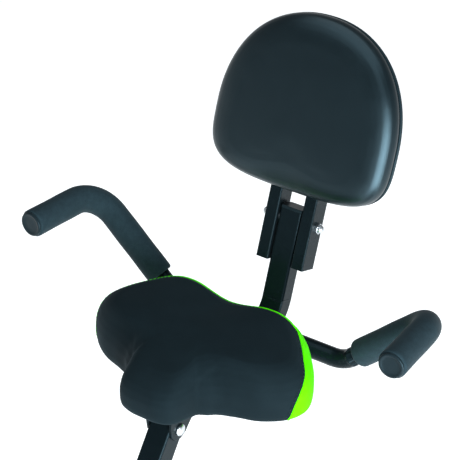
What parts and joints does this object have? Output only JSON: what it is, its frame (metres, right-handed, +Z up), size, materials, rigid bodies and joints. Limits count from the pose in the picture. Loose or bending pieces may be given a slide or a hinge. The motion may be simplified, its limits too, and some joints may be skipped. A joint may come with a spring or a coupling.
{
  "type": "exercise bike",
  "caption": "Folding exercise bike with a wide padded saddle, a backrest, foam seat grips, and a belt-driven flywheel on an X frame.",
  "frame": {"origin": "centre of the footprint on the floor", "axes": "+Z up, the rider faces -Y, the rider's left is +X"},
  "size_m": [0.576, 0.981, 1.1143],
  "materials": {
    "gloss_black_paint": "gloss black enamel",
    "bright_zinc": "bright zinc plate",
    "machined_steel": "machined",
    "black_plastic": "fine-grained black moulding",
    "graphite_plastic": "satin dark grey moulding",
    "screen": "dark glossy window",
    "lime_plastic": "satin lime green",
    "black_rubber": "matt",
    "black_foam": "soft foam skin",
    "polished_steel": "polished",
    "grey_iron": "turned rim, cast sides",
    "black_vinyl": "semi-matt grained vinyl",
    "black_fabric": "smooth stretched cover",
    "lime_fabric": "smooth stretched cover"
  },
  "bodies": {
    "main_frame": {"main_tube": "gloss_black_paint", "front_foot_tube": "gloss_black_paint", "front_foot_caps": "black_plastic", "front_foot_fasteners": "bright_zinc", "seat_tube_bush": "black_plastic", "housing_left": "black_plastic", "housing_right": "black_plastic", "housing_screws": "bright_zinc", "bottom_bracket_cups": "machined_steel", "flywheel_bracket": "gloss_black_paint", "flywheel_axle": "bright_zinc", "drive_belt": "black_rubber", "fold_bolt": "bright_zinc"},
    "folding_frame": {"pivot_plates": "gloss_black_paint", "pivot_bolt": "bright_zinc", "rear_leg": "gloss_black_paint", "rear_foot_tube": "gloss_black_paint", "rear_foot_caps": "black_plastic", "rear_foot_fasteners": "bright_zinc", "console_post": "gloss_black_paint", "handlebar": "gloss_black_paint", "handlebar_grips": "black_foam", "handlebar_clamp": "black_plastic", "pulse_sensors": "polished_steel", "console_case": "black_plastic", "console_screen": "screen", "knob_base": "black_plastic"},
    "seat_slider": {"seat_post": "gloss_black_paint", "seat_bracket": "gloss_black_paint", "seat_fasteners": "bright_zinc", "backrest_upright": "gloss_black_paint", "upright_cap": "black_plastic", "seat_handles": "gloss_black_paint", "seat_grip_left": "black_foam", "seat_grip_right": "black_foam", "seat_handle_caps": "black_plastic", "saddle_pan": "black_plastic", "saddle_cushion": "black_fabric", "saddle_trim": "lime_fabric"},
    "backrest": {"backrest_bars": "gloss_black_paint", "backrest_board": "black_plastic", "backrest_cushion": "black_vinyl", "backrest_fasteners": "bright_zinc"},
    "crank": {"crank_axle": "machined_steel", "crank_arm_left": "gloss_black_paint", "crank_arm_right": "gloss_black_paint", "drive_pulley": "graphite_plastic", "pedal_spindles": "bright_zinc"},
    "pedal_left_body": {"pedal_left": "black_plastic", "pedal_strap_left": "black_rubber"},
    "pedal_right_body": {"pedal_right": "black_plastic", "pedal_strap_right": "black_rubber"},
    "flywheel_body": {"flywheel": "grey_iron"},
    "magnet_arm": {"magnet_bracket": "machined_steel"},
    "tension_knob_body": {"tension_knob": "graphite_plastic"},
    "fold_knob_body": {"fold_knob": "black_plastic"},
    "seat_knob_body": {"seat_knob": "black_plastic"},
    "wheel_left": {"transport_wheel_left": "graphite_plastic"},
    "wheel_right": {"transport_wheel_right": "graphite_plastic"},
    "button": {"console_button": "lime_plastic"}
  },
  "joints": [
    {"name": "frame_fold", "type": "hinge", "parent": "main_frame", "child": "folding_frame", "pos_m": [0, -0.09015, 0.39875], "axis": [-1, 0, 0], "range_deg": [0, 33]},
    {"name": "seat_height", "type": "slide", "parent": "main_frame", "child": "seat_slider", "axis": [0, 0.5878, 0.809], "range_m": [-0.05, 0.075]},
    {"name": "backrest_tilt", "type": "hinge", "parent": "seat_slider", "child": "backrest", "pos_m": [0, 0.40145, 0.847], "axis": [1, 0, 0], "range_deg": [-12, 6]},
    {"name": "crank_spin", "type": "hinge", "parent": "main_frame", "child": "crank", "pos_m": [0, -0.22791, 0.27635], "axis": [1, 0, 0], "continuous": true},
    {"name": "pedal_left_spin", "type": "hinge", "parent": "crank", "child": "pedal_left_body", "pos_m": [0, -0.33828, 0.21766], "axis": [1, 0, 0], "continuous": true},
    {"name": "pedal_right_spin", "type": "hinge", "parent": "crank", "child": "pedal_right_body", "pos_m": [0, -0.11754, 0.33503], "axis": [1, 0, 0], "continuous": true},
    {"name": "flywheel_spin", "type": "hinge", "parent": "main_frame", "child": "flywheel_body", "pos_m": [0, -0.33055, 0.205], "axis": [1, 0, 0], "continuous": true},
    {"name": "tension_knob_turn", "type": "hinge", "parent": "folding_frame", "child": "tension_knob_body", "pos_m": [0, -0.2577, 0.83921], "axis": [0, -0.9063, -0.4226], "range_deg": [0, 270]},
    {"name": "magnet_swing", "type": "hinge", "parent": "main_frame", "child": "magnet_arm", "pos_m": [0, -0.34844, 0.30644], "axis": [-1, 0, 0], "range_deg": [0, 4]},
    {"name": "fold_knob_turn", "type": "hinge", "parent": "main_frame", "child": "fold_knob_body", "pos_m": [0, -0.06194, 0.43759], "axis": [1, 0, 0], "continuous": true},
    {"name": "seat_knob_turn", "type": "hinge", "parent": "main_frame", "child": "seat_knob_body", "pos_m": [0, 0.04621, 0.58645], "axis": [0, -0.809, 0.5878], "continuous": true},
    {"name": "wheel_left_spin", "type": "hinge", "parent": "main_frame", "child": "wheel_left", "pos_m": [0.186, -0.39355, 0.024], "axis": [1, 0, 0], "continuous": true},
    {"name": "wheel_right_spin", "type": "hinge", "parent": "main_frame", "child": "wheel_right", "pos_m": [-0.186, -0.39355, 0.024], "axis": [1, 0, 0], "continuous": true},
    {"name": "button_press", "type": "slide", "parent": "folding_frame", "child": "button", "axis": [0, -0.6428, -0.766], "range_m": [0, 0.0015], "stiffness_N_per_m": 400}
  ],
  "couplings": [
    {"joint": "flywheel_spin", "follows": "crank_spin", "ratio": 7},
    {"joint": "magnet_swing", "follows": "tension_knob_turn", "ratio": 0.0148}
  ]
}
